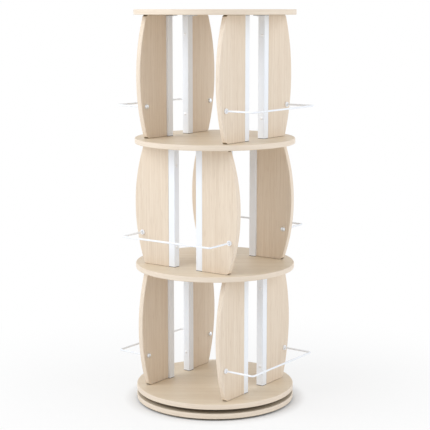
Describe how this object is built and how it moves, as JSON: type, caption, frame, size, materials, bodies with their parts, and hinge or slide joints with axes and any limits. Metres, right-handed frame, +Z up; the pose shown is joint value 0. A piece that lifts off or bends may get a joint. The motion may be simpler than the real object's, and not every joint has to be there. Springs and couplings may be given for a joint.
{
  "type": "revolving bookcase",
  "caption": "Round floor-standing revolving bookcase: tiers of bulging maple-look boards on white posts, with wire book guards, turning on a low round base.",
  "frame": {"origin": "on the turning axis, on the floor under the pads", "axes": "+Z up along the turning axis; +X to the right and +Y to the back, square to the walls of the tiers"},
  "size_m": [0.4794, 0.4794, 1.133],
  "materials": {
    "maple_laminate": "matt maple-look laminate with a fine straight grain and matching edge band",
    "white_post": "satin white powder coat",
    "white_wire": "gloss white powder coat",
    "white_plastic": "moulded white plastic",
    "nickel_nut": "satin nickel plate",
    "zinc_screw": "bright zinc",
    "plate_steel": "zinc-plated pressed steel",
    "ball_steel": "polished",
    "black_nylon": "black nylon",
    "pad_rubber": "black rubber"
  },
  "bodies": {
    "base": {"base_disc": "maple_laminate", "foot_pads": "pad_rubber", "bearing_lower_plate": "plate_steel", "bearing_lower_screws": "zinc_screw", "bearing_retaining_ring": "plate_steel"},
    "ball_cage": {"bearing_ball_cage": "black_nylon", "bearing_balls": "ball_steel"},
    "carousel": {"bearing_upper_plate": "plate_steel", "bearing_upper_screws": "zinc_screw", "guard_cap_nuts": "nickel_nut", "guard_collars": "white_plastic", "lower_board_left_back": "maple_laminate", "lower_board_left_front": "maple_laminate", "lower_board_right_back": "maple_laminate", "lower_board_right_front": "maple_laminate", "lower_board_screws": "zinc_screw", "lower_guard_left": "white_wire", "lower_guard_right": "white_wire", "lower_post_left_back": "white_post", "lower_post_left_front": "white_post", "lower_post_plugs": "black_nylon", "lower_post_right_back": "white_post", "lower_post_right_front": "white_post", "lower_shelf_disc": "maple_laminate", "lower_shelf_screws": "zinc_screw", "middle_board_back_left": "maple_laminate", "middle_board_back_right": "maple_laminate", "middle_board_front_left": "maple_laminate", "middle_board_front_right": "maple_laminate", "middle_board_screws": "zinc_screw", "middle_guard_back": "white_wire", "middle_guard_front": "white_wire", "middle_post_back_left": "white_post", "middle_post_back_right": "white_post", "middle_post_front_left": "white_post", "middle_post_front_right": "white_post", "middle_post_plugs": "black_nylon", "post_plates": "plate_steel", "tab_screws": "zinc_screw", "top_disc": "maple_laminate", "turntable_disc": "maple_laminate", "turntable_screws": "zinc_screw", "upper_board_left_back": "maple_laminate", "upper_board_left_front": "maple_laminate", "upper_board_right_back": "maple_laminate", "upper_board_right_front": "maple_laminate", "upper_board_screws": "zinc_screw", "upper_guard_left": "white_wire", "upper_guard_right": "white_wire", "upper_post_left_back": "white_post", "upper_post_left_front": "white_post", "upper_post_plugs": "black_nylon", "upper_post_right_back": "white_post", "upper_post_right_front": "white_post", "upper_shelf_disc": "maple_laminate", "upper_shelf_screws": "zinc_screw"}
  },
  "joints": [
    {"name": "carousel_spin", "type": "hinge", "parent": "base", "child": "carousel", "pos_m": [0, 0, 0.026], "axis": [0, 0, 1], "continuous": true},
    {"name": "cage_spin", "type": "hinge", "parent": "base", "child": "ball_cage", "pos_m": [0, 0, 0.026], "axis": [0, 0, 1], "continuous": true}
  ],
  "couplings": [
    {"joint": "cage_spin", "follows": "carousel_spin", "ratio": 0.5}
  ]
}
